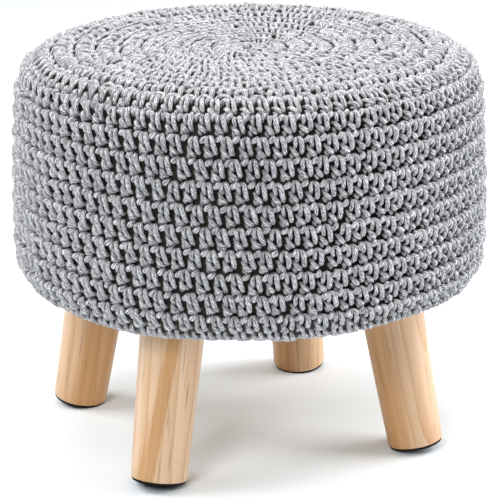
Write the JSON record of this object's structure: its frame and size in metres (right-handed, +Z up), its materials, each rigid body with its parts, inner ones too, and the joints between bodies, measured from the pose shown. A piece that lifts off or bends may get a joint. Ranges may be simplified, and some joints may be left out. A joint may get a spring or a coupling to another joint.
{
  "type": "crocheted pouf footstool with wooden legs",
  "caption": "Round pouf footstool: a filled seat in a cover of thick cord crocheted in rounds, on short splayed tapered wooden legs with black foot pads.",
  "frame": {"origin": "on the floor, under the middle of the round seat: the middle of the bounding box's bottom face", "axes": "+Z up; X and Y run between the legs, with the two front legs towards -Y"},
  "size_m": [0.4, 0.4, 0.3382],
  "materials": {
    "cord": "matt cotton cord, crocheted",
    "board": "plain sanded board",
    "pine": "pine under clear satin varnish",
    "foot_pad": "matt black"
  },
  "bodies": {
    "root": {"crochet_seat": "cord", "base_board": "board", "leg_front_left": "pine", "leg_front_right": "pine", "leg_back_right": "pine", "leg_back_left": "pine", "pad_front_left": "foot_pad", "pad_front_right": "foot_pad", "pad_back_right": "foot_pad", "pad_back_left": "foot_pad"}
  },
  "joints": []
}
